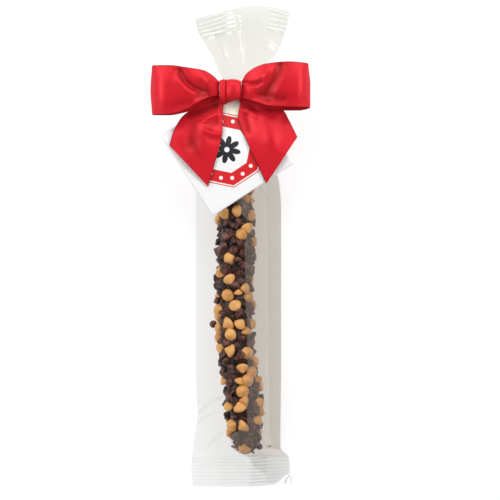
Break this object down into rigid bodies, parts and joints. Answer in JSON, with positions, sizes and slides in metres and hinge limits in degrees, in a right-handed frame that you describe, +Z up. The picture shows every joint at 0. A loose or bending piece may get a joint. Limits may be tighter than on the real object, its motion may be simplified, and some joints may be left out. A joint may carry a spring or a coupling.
{
  "type": "wrapped chocolate covered pretzel rod",
  "caption": "Chocolate covered pretzel rod studded with tan and dark drops, sealed in a clear film bag tied with a satin bow and a square card tag.",
  "frame": {"origin": "on the floor, below the middle of the whole pack as it lies on its back", "axes": "+X to the right across the pack, +Y from the bottom seal to the gathered top, +Z up, towards the side with the bow"},
  "size_m": [0.0834, 0.256, 0.0339],
  "materials": {
    "clear_film": "thin clear glossy film",
    "satin_ribbon": "red satin with a soft sheen",
    "tag_card": "smooth white card",
    "chocolate": "dark chocolate, half gloss",
    "peanut_drops": "tan peanut drops, soft gloss"
  },
  "bodies": {
    "root": {"bag": "clear_film", "tag": "tag_card", "bow_loop_left": "satin_ribbon", "bow_loop_right": "satin_ribbon", "bow_tail_left": "satin_ribbon", "bow_tail_right": "satin_ribbon", "bow_knot": "satin_ribbon", "bow_wrap": "satin_ribbon"}
  },
  "joints": []
}
